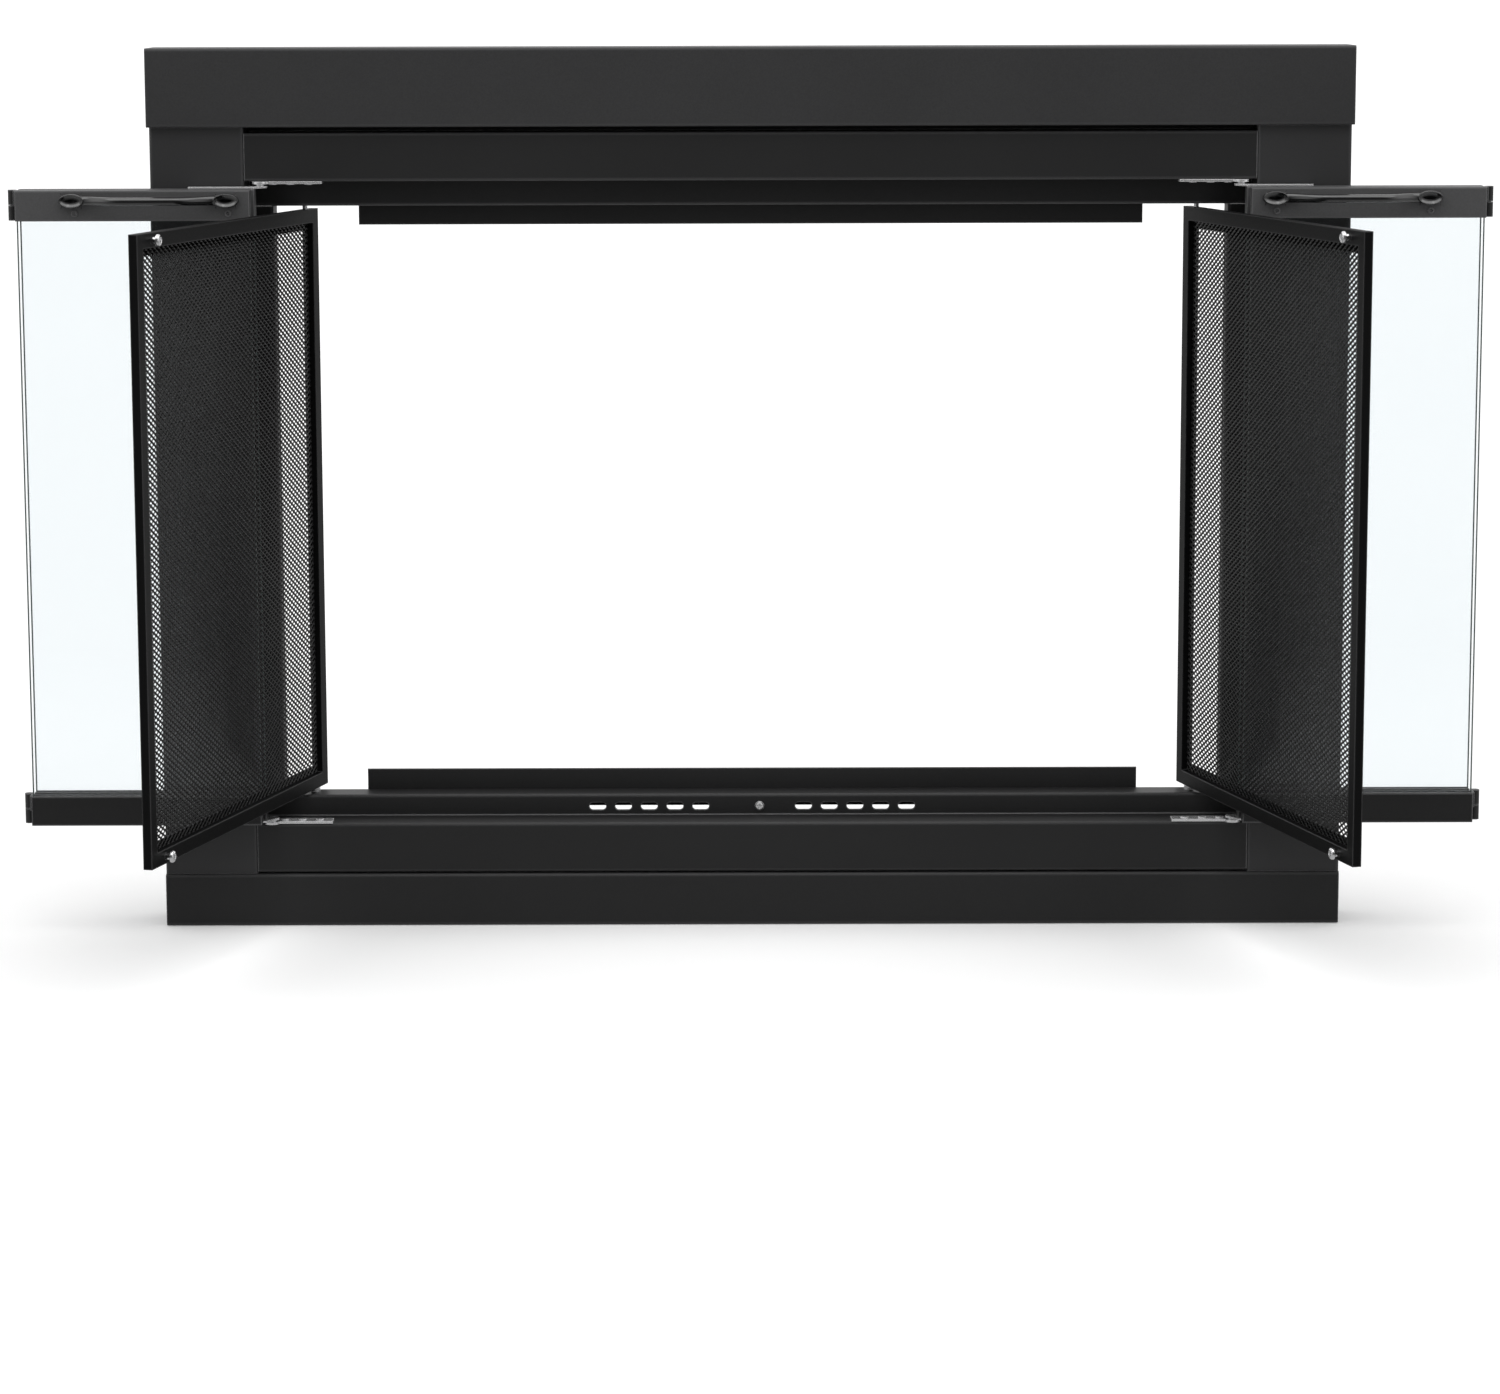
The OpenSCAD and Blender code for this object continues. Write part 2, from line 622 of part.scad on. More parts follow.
module handle_screws() {
    color(zinc) for (x = handle_xs) cyl_y(x, handle_y - handle_screw_out, handle_y + handle_screw_in, handle_z, handle_screw_r);
}

// ---- mesh door, drawn shut and then swung open about its pin ----

module swung_open() {
    translate([mesh_pin_x, mesh_pin_y, 0]) rotate([0, 0, mesh_open]) translate([-mesh_pin_x, -mesh_pin_y, 0]) children();
}

stud_zs = [mesh_lo + mesh_bar / 2, mesh_hi - mesh_bar / 2];
stud_x = mesh_mid_gap + stud_in;
mesh_y0 = mesh_pin_y - mesh_half;
mesh_y1 = mesh_pin_y + mesh_half;
mesh_seat = mesh_y0 + sheet;

module mesh_frame() {
    color(black) swung_open() difference() {
        bar_x(mesh_mid_gap, mesh_mid_gap + mesh_w, mesh_y0, mesh_y1, mesh_lo, mesh_hi);
        bar_x(mesh_mid_gap + mesh_bar, mesh_mid_gap + mesh_w - mesh_bar, mesh_seat, mesh_y1 + 1, mesh_lo + mesh_bar, mesh_hi - mesh_bar);
        bar_x(mesh_mid_gap + mesh_bar + mesh_ledge, mesh_mid_gap + mesh_w - mesh_bar - mesh_ledge, mesh_y0 - 1, mesh_seat + 1,
            mesh_lo + mesh_bar + mesh_ledge, mesh_hi - mesh_bar - mesh_ledge);
        cyl_z(mesh_pin_x, mesh_pin_y, mesh_hi - pin_in, mesh_hi + 1, mesh_pin_r);
        cyl_z(mesh_pin_x, mesh_pin_y, mesh_lo - 1, mesh_lo + pin_in, mesh_pin_r);
        for (z = stud_zs) cyl_y(stud_x, mesh_y1 - 3, mesh_y1 + 1, z, stud_r);
    }
}

// The mesh: two families of crossing strands, cut to the ledge's outline
net_w = mesh_w - 2 * mesh_bar - 0.4;
net_h = mesh_hi - mesh_lo - 2 * mesh_bar - 0.4;

module strands(w, h, nx, nz) {
    cw = w / nx;
    ch = h / nz;
    a = atan2(ch, cw);
    len = (w + h) * 2;
    n = nx + nz;
    for (s = [-1, 1], k = [-n : n])
        translate([w / 2, h / 2 + k * ch]) rotate(s * a) square([len, strand_w], center = true);
}

module mesh_panel() {
    color(dark) swung_open()
        translate([mesh_mid_gap + mesh_bar + 0.2, mesh_seat + strand_t, mesh_lo + mesh_bar + 0.2])
            rotate([90, 0, 0]) linear_extrude(strand_t) {
                intersection() {
                    square([net_w, net_h]);
                    strands(net_w, net_h, mesh_nx, mesh_nz);
                }
                difference() {
                    square([net_w, net_h]);
                    translate([mesh_ledge - 1, mesh_ledge - 1]) square([net_w - 2 * mesh_ledge + 2, net_h - 2 * mesh_ledge + 2]);
                }
            }
}

module mesh_pins() {
    color(zinc) swung_open() {
        cyl_z(mesh_pin_x, mesh_pin_y, mesh_hi - pin_in, top_z2 + sheet + 3, mesh_pin_r);
        cyl_z(mesh_pin_x, mesh_pin_y, bot_z2 - sheet - 3, mesh_lo + pin_in, mesh_pin_r);
        cyl_z(mesh_pin_x, mesh_pin_y, bot_z2, mesh_lo, mesh_pin_r + 2);
    }
}

module mesh_studs() {
    color(zinc) swung_open() for (z = stud_zs) {
        cyl_y(stud_x, mesh_y1 - 3, stop_y - stud_gap - stud_head_h, z, stud_r);
        intersection() {
            translate([stud_x, stop_y - stud_gap - stud_head_h, z]) rotate([-90, 0, 0]) cylinder(h = stud_head_h, r = stud_head_r);
            translate([stud_x, stop_y - stud_gap - 5.2, z]) sphere(r = 5.2);
        }
    }
}

lintel_cover();
other_side() stile();  // left_stile
stile();  // right_stile
sill_bar();
top_rail();
bottom_rail();
other_side() jamb();  // left_jamb
jamb();  // right_jamb
top_stop_strip();
bottom_stop_strip();
strip_rivets();
frame_rivets();
vent_screw();
other_side() upper_pivot_plate();  // upper_left_pivot_plate
upper_pivot_plate();  // upper_right_pivot_plate
other_side() lower_pivot_plate();  // lower_left_pivot_plate
lower_pivot_plate();  // lower_right_pivot_plate
plate_rivets();
other_side() floor_bracket();  // left_floor_bracket
floor_bracket();  // right_floor_bracket
other_side() lintel_bracket();  // left_lintel_bracket
lintel_bracket();  // right_lintel_bracket
bracket_bolts();
other_side() side_glass();  // left_side_glass
other_side() side_top_rail();  // left_side_top_rail
other_side() side_bottom_rail();  // left_side_bottom_rail
other_side() leaf_hinge(1);  // upper_left_leaf_hinge
other_side() leaf_hinge(-1);  // lower_left_leaf_hinge
other_side() fold_side_halves();  // left_fold_hinge_side_halves
other_side() lead_glass();  // left_lead_glass
other_side() lead_top_rail();  // left_lead_top_rail
other_side() lead_bottom_rail();  // left_lead_bottom_rail
other_side() fold_lead_halves();  // left_fold_hinge_lead_halves
other_side() handle();  // left_handle
other_side() handle_screws();  // left_handle_screws
other_side() mesh_frame();  // left_mesh_frame
other_side() mesh_panel();  // left_mesh
other_side() mesh_pins();  // left_mesh_pins
other_side() mesh_studs();  // left_mesh_studs
side_glass();  // right_side_glass
side_top_rail();  // right_side_top_rail
side_bottom_rail();  // right_side_bottom_rail
leaf_hinge(1);  // upper_right_leaf_hinge
leaf_hinge(-1);  // lower_right_leaf_hinge
fold_side_halves();  // right_fold_hinge_side_halves
lead_glass();  // right_lead_glass
lead_top_rail();  // right_lead_top_rail
lead_bottom_rail();  // right_lead_bottom_rail
fold_lead_halves();  // right_fold_hinge_lead_halves
handle();  // right_handle
handle_screws();  // right_handle_screws
mesh_frame();  // right_mesh_frame
mesh_panel();  // right_mesh
mesh_pins();  // right_mesh_pins
mesh_studs();  // right_mesh_studs
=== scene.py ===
import json
import math

import bpy
from mathutils import Matrix, Vector


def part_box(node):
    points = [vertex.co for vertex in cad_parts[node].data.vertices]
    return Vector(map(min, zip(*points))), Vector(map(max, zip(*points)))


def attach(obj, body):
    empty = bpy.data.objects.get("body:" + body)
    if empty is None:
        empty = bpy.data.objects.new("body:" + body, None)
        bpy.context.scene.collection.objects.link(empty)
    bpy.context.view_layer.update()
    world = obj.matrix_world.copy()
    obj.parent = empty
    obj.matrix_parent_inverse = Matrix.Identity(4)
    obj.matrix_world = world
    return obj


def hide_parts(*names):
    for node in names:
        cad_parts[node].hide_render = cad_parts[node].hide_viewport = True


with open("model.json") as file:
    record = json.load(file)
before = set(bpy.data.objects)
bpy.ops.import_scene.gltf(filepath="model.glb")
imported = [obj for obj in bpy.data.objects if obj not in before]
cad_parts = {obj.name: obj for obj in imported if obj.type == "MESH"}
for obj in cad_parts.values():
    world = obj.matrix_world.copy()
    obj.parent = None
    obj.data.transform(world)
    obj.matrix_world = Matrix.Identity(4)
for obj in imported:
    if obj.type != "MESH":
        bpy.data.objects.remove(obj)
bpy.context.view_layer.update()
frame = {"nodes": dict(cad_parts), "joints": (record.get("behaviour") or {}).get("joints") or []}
nodes = frame["nodes"]
scene = bpy.context.scene
scene.view_settings.view_transform = "Standard"

# ---------------------------------------------------------------- the studio
# The door set stands on a white floor that starts in front of it and runs
# back past the horizon. A long lens a little above its top looks down at it.

camera_data = bpy.data.cameras.new("camera")
camera_data.sensor_width = 36.0
camera_data.lens = 108.4
camera_data.clip_end = 400.0
camera = bpy.data.objects.new("camera", camera_data)
camera.location = (0.0, -3.5717, 0.7638)
camera.rotation_euler = (math.radians(80.8), 0.0026, 0.0)
scene.collection.objects.link(camera)
scene.camera = camera

bpy.ops.object.select_all(action="DESELECT")
bpy.ops.mesh.primitive_plane_add(size=240.0, location=(0.0, 118.5, -0.0004))
floor = bpy.context.object
floor.name = "studio_floor"
bpy.ops.object.transform_apply(location=True, rotation=True, scale=True)
floor_mat = bpy.data.materials.new("studio_floor")
floor_mat.use_nodes = True
floor_bsdf = floor_mat.node_tree.nodes["Principled BSDF"]
floor_new, floor_links = floor_mat.node_tree.nodes.new, floor_mat.node_tree.links
floor_path = floor_new("ShaderNodeLightPath")


def seen_directly(new, links, path):
    """1 for what the camera sees, straight or through glass alone, else 0."""
    bounced = new("ShaderNodeMath")
    bounced.operation = "ADD"
    bounced.use_clamp = True
    links.new(path.outputs["Diffuse Depth"], bounced.inputs[0])
    links.new(path.outputs["Glossy Depth"], bounced.inputs[1])
    straight = new("ShaderNodeMath")
    straight.operation = "SUBTRACT"
    straight.inputs[0].default_value = 1.0
    links.new(bounced.outputs[0], straight.inputs[1])
    through = new("ShaderNodeMath")
    through.operation = "MULTIPLY"
    links.new(path.outputs["Is Transmission Ray"], through.inputs[0])
    links.new(straight.outputs[0], through.inputs[1])
    seen = new("ShaderNodeMath")
    seen.operation = "MAXIMUM"
    links.new(path.outputs["Is Camera Ray"], seen.inputs[0])
    links.new(through.outputs[0], seen.inputs[1])
    return seen


floor_seen = seen_directly(floor_new, floor_links, floor_path)
floor_lift = floor_new("ShaderNodeMath")
floor_lift.operation = "MULTIPLY"
floor_lift.inputs[1].default_value = 0.1
floor_links.new(floor_seen.outputs[0], floor_lift.inputs[0])
floor_links.new(floor_lift.outputs[0], floor_bsdf.inputs["Emission Strength"])
floor_bsdf.inputs["Emission Color"].default_value = (1.0, 1.0, 1.0, 1.0)
floor_where = floor_new("ShaderNodeTexCoord")
floor_along = floor_new("ShaderNodeSeparateXYZ")
floor_links.new(floor_where.outputs["Object"], floor_along.inputs[0])
floor_mirrored = floor_new("ShaderNodeMapRange")
floor_mirrored.inputs["From Min"].default_value = -1.5
floor_mirrored.inputs["From Max"].default_value = -0.1
floor_mirrored.inputs["To Min"].default_value = 0.05
floor_mirrored.inputs["To Max"].default_value = 0.5
floor_links.new(floor_along.outputs["Y"], floor_mirrored.inputs["Value"])
floor_unseen = floor_new("ShaderNodeMix")
floor_unseen.inputs["A"].default_value = 0.62
floor_links.new(floor_path.outputs["Is Glossy Ray"], floor_unseen.inputs["Factor"])
floor_links.new(floor_mirrored.outputs["Result"], floor_unseen.inputs["B"])
floor_white = floor_new("ShaderNodeMix")
floor_white.data_type = "RGBA"
floor_links.new(floor_unseen.outputs["Result"], floor_white.inputs["A"])
floor_white.inputs["B"].default_value = (0.98, 0.98, 0.98, 1.0)
floor_links.new(floor_seen.outputs[0], floor_white.inputs["Factor"])
floor_links.new(floor_white.outputs["Result"], floor_bsdf.inputs["Base Color"])
floor_bsdf.inputs["Roughness"].default_value = 0.9
floor_bsdf.inputs["Specular IOR Level"].default_value = 0.0
floor.data.materials.append(floor_mat)

world = bpy.data.worlds.new("studio")
scene.world = world
world.use_nodes = True
world_new, world_links = world.node_tree.nodes.new, world.node_tree.links
background = world.node_tree.nodes["Background"]
background.inputs["Color"].default_value = (1.0, 1.0, 1.0, 1.0)
path = world_new("ShaderNodeLightPath")
towards = world_new("ShaderNodeTexCoord")
along = world_new("ShaderNodeSeparateXYZ")
world_links.new(towards.outputs["Generated"], along.inputs[0])
mirrored = world_new("ShaderNodeMapRange")
mirrored.inputs["From Min"].default_value = -0.95
mirrored.inputs["From Max"].default_value = -0.25
mirrored.inputs["To Min"].default_value = 0.06
mirrored.inputs["To Max"].default_value = 1.0
world_links.new(along.outputs["Y"], mirrored.inputs["Value"])
unseen = world_new("ShaderNodeMix")
unseen.inputs["A"].default_value = 0.78
polished = world_new("ShaderNodeMath")
polished.operation = "MULTIPLY_ADD"
polished.use_clamp = True
world_links.new(path.outputs["Is Transmission Ray"], polished.inputs[0])
world_links.new(path.outputs["Glossy Depth"], polished.inputs[1])
world_links.new(path.outputs["Is Glossy Ray"], polished.inputs[2])
world_links.new(polished.outputs[0], unseen.inputs["Factor"])
world_links.new(mirrored.outputs["Result"], unseen.inputs["B"])
seen = seen_directly(world_new, world_links, path)
level = world_new("ShaderNodeMix")
level.inputs["B"].default_value = 1.0
world_links.new(seen.outputs[0], level.inputs["Factor"])
world_links.new(unseen.outputs["Result"], level.inputs["A"])
world_links.new(level.outputs["Result"], background.inputs["Strength"])

for turn in (-42.0, 42.0):
    lamp_data = bpy.data.lights.new("softbox", "SUN")
    lamp_data.energy = 0.65
    lamp_data.angle = math.radians(50.0)
    lamp = bpy.data.objects.new("softbox", lamp_data)
    lamp.rotation_euler = (math.radians(32.0), 0.0, math.radians(turn))
    scene.collection.objects.link(lamp)

# ------------------------------------------------ the powder-coated surround
# Lintel cover, stiles, sill bar, stepped rails and jambs are folded from
# sheet steel and sprayed with a satin black powder that leaves a fine
# orange-peel skin. Along the folds the colour is lightened as a painted
# highlight.


def skin_group(title, settings, results):
    """A node group, empty inside: a colour and settings in, results out."""
    group = bpy.data.node_groups.new(title, "ShaderNodeTree")
    face = group.interface
    face.new_socket("Colour", in_out="INPUT", socket_type="NodeSocketColor")
    for name, value in settings:
        socket = face.new_socket(name, in_out="INPUT",
                                 socket_type="NodeSocketFloat")
        socket.default_value = value
    for name, kind in results:
        face.new_socket(name, in_out="OUTPUT", socket_type=kind)
    return group


def fold_mask(new, link, radius):
    """A rounded normal, and a mask of where it leaves the flat one."""
    rounded = new("ShaderNodeBevel")
    rounded.samples = 4
    rounded.inputs["Radius"].default_value = radius
    flat = new("ShaderNodeNewGeometry")
    dot = new("ShaderNodeVectorMath")
    dot.operation = "DOT_PRODUCT"
    link(rounded.outputs["Normal"], dot.inputs[0])
    link(flat.outputs["Normal"], dot.inputs[1])
    mask = new("ShaderNodeMapRange")
    mask.inputs["From Min"].default_value = 1.0
    mask.inputs["From Max"].default_value = 0.93
    link(dot.outputs["Value"], mask.inputs["Value"])
    return rounded, mask


def powder_coat_group():
    """Orange-peel powder: mottled, with a painted highlight along the folds."""
    group = skin_group(
        "powder_coat",
        (("Roughness", 0.45), ("Peel", 0.08), ("Grain", 900.0), ("Edge", 0.5)),
        (("Colour", "NodeSocketColor"), ("Roughness", "NodeSocketFloat"),
         ("Normal", "NodeSocketVector")))
    new, link = group.nodes.new, group.links.new
    given, out = new("NodeGroupInput"), new("NodeGroupOutput")
    where = new("ShaderNodeTexCoord")

    grain = new("ShaderNodeTexNoise")
    grain.inputs["Detail"].default_value = 2.0
    link(where.outputs["Object"], grain.inputs["Vector"])
    link(given.outputs["Grain"], grain.inputs["Scale"])

    cloud = new("ShaderNodeTexNoise")
    cloud.inputs["Scale"].default_value = 7.0
    cloud.inputs["Detail"].default_value = 3.0
    link(where.outputs["Object"], cloud.inputs["Vector"])

    tone = new("ShaderNodeMapRange")
    tone.inputs["To Min"].default_value = 0.86
    tone.inputs["To Max"].default_value = 1.14
    link(cloud.outputs["Fac"], tone.inputs["Value"])
    speck = new("ShaderNodeMapRange")
    speck.inputs["To Min"].default_value = 0.8
    speck.inputs["To Max"].default_value = 1.2
    link(grain.outputs["Fac"], speck.inputs["Value"])
    shade = new("ShaderNodeMath")
    shade.operation = "MULTIPLY"
    link(tone.outputs["Result"], shade.inputs[0])
    link(speck.outputs["Result"], shade.inputs[1])
    tinted = new("ShaderNodeVectorMath")
    tinted.operation = "SCALE"
    link(given.outputs["Colour"], tinted.inputs[0])
    link(shade.outputs[0], tinted.inputs["Scale"])

    rounded, fold = fold_mask(new, link, 0.0014)
    # painted highlight: the colour is lightened towards grey where the rounded normal leaves the
    # flat one, along the folds
    fold_highlight = new("ShaderNodeMath")
    fold_highlight.operation = "MULTIPLY"
    link(fold.outputs["Result"], fold_highlight.inputs[0])
    link(given.outputs["Edge"], fold_highlight.inputs[1])
    lighter = new("ShaderNodeMix")
    lighter.data_type = "RGBA"
    link(fold_highlight.outputs[0], lighter.inputs["Factor"])
    link(tinted.outputs["Vector"], lighter.inputs["A"])
    lighter.inputs["B"].default_value = (0.27, 0.27, 0.275, 1.0)
    link(lighter.outputs["Result"], out.inputs["Colour"])

    rough = new("ShaderNodeMath")
    rough.operation = "MULTIPLY"
    link(given.outputs["Roughness"], rough.inputs[0])
    link(speck.outputs["Result"], rough.inputs[1])
    link(rough.outputs[0], out.inputs["Roughness"])

    bump = new("ShaderNodeBump")
    bump.inputs["Distance"].default_value = 0.0003
    link(given.outputs["Peel"], bump.inputs["Strength"])
    link(grain.outputs["Fac"], bump.inputs["Height"])
    link(rounded.outputs["Normal"], bump.inputs["Normal"])
    link(bump.outputs["Normal"], out.inputs["Normal"])
    return group


powder_coat = powder_coat_group()


def coated(name, colour, roughness, edge=0.5, peel=0.08, specular=0.3):
    """A black paint whose colour, roughness and normal the coat group gives."""
    mat = bpy.data.materials.new(name)
    mat.use_nodes = True
    links = mat.node_tree.links
    bsdf = mat.node_tree.nodes["Principled BSDF"]
    bsdf.inputs["Specular IOR Level"].default_value = specular
    skin = mat.node_tree.nodes.new("ShaderNodeGroup")
    skin.node_tree = powder_coat
    skin.inputs["Colour"].default_value = (*colour, 1.0)
    skin.inputs["Roughness"].default_value = roughness
    skin.inputs["Edge"].default_value = edge
    skin.inputs["Peel"].default_value = peel
    links.new(skin.outputs["Colour"], bsdf.inputs["Base Color"])
    links.new(skin.outputs["Roughness"], bsdf.inputs["Roughness"])
    links.new(skin.outputs["Normal"], bsdf.inputs["Normal"])
    return mat


def dress(material, *names):
    """Gives each named CAD piece this one material."""
    for name in names:
        mesh = nodes[name].data
        mesh.materials.clear()
        mesh.materials.append(material)


lintel_black = coated("lintel_black", (0.036, 0.036, 0.037), 0.44, edge=0.6)
frame_black = coated("frame_black", (0.034, 0.034, 0.035), 0.46, edge=0.6)
# painted shade: the sill bar, rails and jambs take the same black powder at about half its
# colour
shaded_rail_sheet_black = coated("shaded_rail_sheet_black", (0.018, 0.018, 0.0184), 0.48,
                          edge=0.8)
dress(lintel_black, "lintel_cover")
dress(frame_black, "left_stile", "right_stile")
dress(shaded_rail_sheet_black, "sill_bar", "top_rail", "bottom_rail", "left_jamb",
      "right_jamb")

# ------------------------------------------------------------ the stop strips
# Plain dark strips riveted behind the rails, which the mesh doors close on,
# and the dark rivets that join the stiles to the jambs and to the rails' end
# tabs.

strip_black = coated("strip_black", (0.018, 0.018, 0.0184), 0.5, edge=0.6)
dress(strip_black, "top_stop_strip", "bottom_stop_strip", "strip_rivets",
      "frame_rivets")

# ------------------------------------------------- zinc plates and brackets
# Pivot plates, their rivets, the leaf plates, the brackets at the back with
# their bolts, the screw between the air slots, the handle screws and the
# mesh doors' pins are steel with bright zinc on them.


def plated_skin_group():
    """Brushed plating: streaks along X, and a painted highlight on the edges."""
    group = skin_group(
        "plated_skin",
        (("Streak", 0.2), ("Roughness", 0.3), ("Metal", 0.8),
         ("Edge metal", 0.1)),
        (("Colour", "NodeSocketColor"), ("Roughness", "NodeSocketFloat"),
         ("Metal", "NodeSocketFloat"), ("Normal", "NodeSocketVector")))
    new, link = group.nodes.new, group.links.new
    given, out = new("NodeGroupInput"), new("NodeGroupOutput")
    where = new("ShaderNodeTexCoord")
    stretch = new("ShaderNodeMapping")
    stretch.inputs["Scale"].default_value = (60.0, 900.0, 900.0)
    link(where.outputs["Object"], stretch.inputs["Vector"])
    grain = new("ShaderNodeTexNoise")
    grain.inputs["Scale"].default_value = 1.0
    grain.inputs["Detail"].default_value = 3.0
    link(stretch.outputs["Vector"], grain.inputs["Vector"])

    # the brushed streaks darken the plating a little
    dimmed = new("ShaderNodeMath")
    dimmed.operation = "MULTIPLY"
    link(grain.outputs["Fac"], dimmed.inputs[0])
    link(given.outputs["Streak"], dimmed.inputs[1])
    shade = new("ShaderNodeMath")
    shade.operation = "SUBTRACT"
    shade.inputs[0].default_value = 1.0
    link(dimmed.outputs[0], shade.inputs[1])
    tinted = new("ShaderNodeVectorMath")
    tinted.operation = "SCALE"
    link(given.outputs["Colour"], tinted.inputs[0])
    link(shade.outputs[0], tinted.inputs["Scale"])

    # a painted highlight along the edges, where a rolled normal leaves the flat one: the colour
    # goes to near white and less metallic
    rolled, edge = fold_mask(new, link, 0.0009)
    brighter = new("ShaderNodeMix")
    brighter.data_type = "RGBA"
    link(edge.outputs["Result"], brighter.inputs["Factor"])
    link(tinted.outputs["Vector"], brighter.inputs["A"])
    brighter.inputs["B"].default_value = (0.95, 0.95, 0.95, 1.0)
    link(brighter.outputs["Result"], out.inputs["Colour"])
    metal = new("ShaderNodeMix")
    link(edge.outputs["Result"], metal.inputs["Factor"])
    link(given.outputs["Metal"], metal.inputs["A"])
    link(given.outputs["Edge metal"], metal.inputs["B"])
    link(metal.outputs["Result"], out.inputs["Metal"])

    spread = new("ShaderNodeMapRange")
    spread.inputs["To Min"].default_value = 0.7
    spread.inputs["To Max"].default_value = 1.3
    link(grain.outputs["Fac"], spread.inputs["Value"])
    rough = new("ShaderNodeMath")
    rough.operation = "MULTIPLY"
    link(given.outputs["Roughness"], rough.inputs[0])
    link(spread.outputs["Result"], rough.inputs[1])
    link(rough.outputs[0], out.inputs["Roughness"])
    bump = new("ShaderNodeBump")
    bump.inputs["Strength"].default_value = 0.1
    bump.inputs["Distance"].default_value = 0.0001
    link(grain.outputs["Fac"], bump.inputs["Height"])
    link(rolled.outputs["Normal"], bump.inputs["Normal"])
    link(bump.outputs["Normal"], out.inputs["Normal"])
    return group


plated_skin = plated_skin_group()


def plated(name, colour, roughness, streak, metal, edge_metal):
    """A plated metal whose sockets the plating group gives."""
    mat = bpy.data.materials.new(name)
    mat.use_nodes = True
    links = mat.node_tree.links
    bsdf = mat.node_tree.nodes["Principled BSDF"]
    skin = mat.node_tree.nodes.new("ShaderNodeGroup")
    skin.node_tree = plated_skin
    skin.inputs["Colour"].default_value = (*colour, 1.0)
    skin.inputs["Roughness"].default_value = roughness
    skin.inputs["Streak"].default_value = streak
    skin.inputs["Metal"].default_value = metal
    skin.inputs["Edge metal"].default_value = edge_metal
    links.new(skin.outputs["Colour"], bsdf.inputs["Base Color"])
    links.new(skin.outputs["Roughness"], bsdf.inputs["Roughness"])
    links.new(skin.outputs["Metal"], bsdf.inputs["Metallic"])
    links.new(skin.outputs["Normal"], bsdf.inputs["Normal"])
    return mat


zinc = plated("bright_zinc", (0.9, 0.9, 0.91), 0.24, 0.2, 0.75, 0.0)
dress(zinc, "vent_screw", "plate_rivets", "left_floor_bracket",
      "right_floor_bracket", "left_lintel_bracket", "right_lintel_bracket",
      "bracket_bolts")
for height in ("upper", "lower"):
    for side in ("left", "right"):
        dress(zinc, f"{height}_{side}_pivot_plate", f"{height}_{side}_leaf_hinge")

# ------------------------------------------------------------ the glass leaves
# Each leaf is one sheet of clear tempered glass with bare side edges, held
# top and bottom in a grooved black rail. Small set screws in the top rails
# clamp the sheet.

glass = bpy.data.materials.new("tempered_glass")
glass.use_nodes = True
glass_bsdf = glass.node_tree.nodes["Principled BSDF"]
glass_bsdf.inputs["Transmission Weight"].default_value = 1.0
glass_bsdf.inputs["IOR"].default_value = 1.45
glass_new, glass_links = glass.node_tree.nodes.new, glass.node_tree.links
glass_where = glass_new("ShaderNodeTexCoord")
glass_noise = glass_new("ShaderNodeTexNoise")
glass_noise.inputs["Scale"].default_value = 5.0
glass_links.new(glass_where.outputs["Object"], glass_noise.inputs["Vector"])
glass_tint = glass_new("ShaderNodeMix")
glass_tint.data_type = "RGBA"
glass_tint.inputs["A"].default_value = (0.925, 0.95, 0.96, 1.0)
glass_tint.inputs["B"].default_value = (0.94, 0.96, 0.968, 1.0)
glass_links.new(glass_noise.outputs["Fac"], glass_tint.inputs["Factor"])
glass_links.new(glass_tint.outputs["Result"], glass_bsdf.inputs["Base Color"])
glass_rough = glass_new("ShaderNodeMapRange")
glass_rough.inputs["To Min"].default_value = 0.0
glass_rough.inputs["To Max"].default_value = 0.02
glass_links.new(glass_noise.outputs["Fac"], glass_rough.inputs["Value"])
glass_links.new(glass_rough.outputs["Result"], glass_bsdf.inputs["Roughness"])


def keep_selected(test):
    """In edit mode, selects the faces that pass the test and nothing else."""
    bpy.ops.object.mode_set(mode="OBJECT")
    mesh = bpy.context.object.data
    for part in (mesh.vertices, mesh.edges, mesh.polygons):
        part.foreach_set("select", [False] * len(part))
    for polygon in mesh.polygons:
        polygon.select = test(polygon)
    bpy.ops.object.mode_set(mode="EDIT")


ground = bpy.data.materials.new("ground_glass_edge")
ground.use_nodes = True
ground_bsdf = ground.node_tree.nodes["Principled BSDF"]
ground_new, ground_links = ground.node_tree.nodes.new, ground.node_tree.links
ground_where = ground_new("ShaderNodeTexCoord")
ground_noise = ground_new("ShaderNodeTexNoise")
ground_noise.inputs["Scale"].default_value = 160.0
ground_links.new(ground_where.outputs["Object"], ground_noise.inputs["Vector"])
ground_tone = ground_new("ShaderNodeMix")
ground_tone.data_type = "RGBA"
ground_tone.inputs["A"].default_value = (0.07, 0.095, 0.09, 1.0)
ground_tone.inputs["B"].default_value = (0.12, 0.155, 0.148, 1.0)
ground_links.new(ground_noise.outputs["Fac"], ground_tone.inputs["Factor"])
ground_links.new(ground_tone.outputs["Result"], ground_bsdf.inputs["Base Color"])
ground_rough = ground_new("ShaderNodeMapRange")
ground_rough.inputs["To Min"].default_value = 0.35
ground_rough.inputs["To Max"].default_value = 0.6
ground_links.new(ground_noise.outputs["Fac"], ground_rough.inputs["Value"])
ground_links.new(ground_rough.outputs["Result"], ground_bsdf.inputs["Roughness"])
edge_t, edge_less = 0.0004, 0.00004


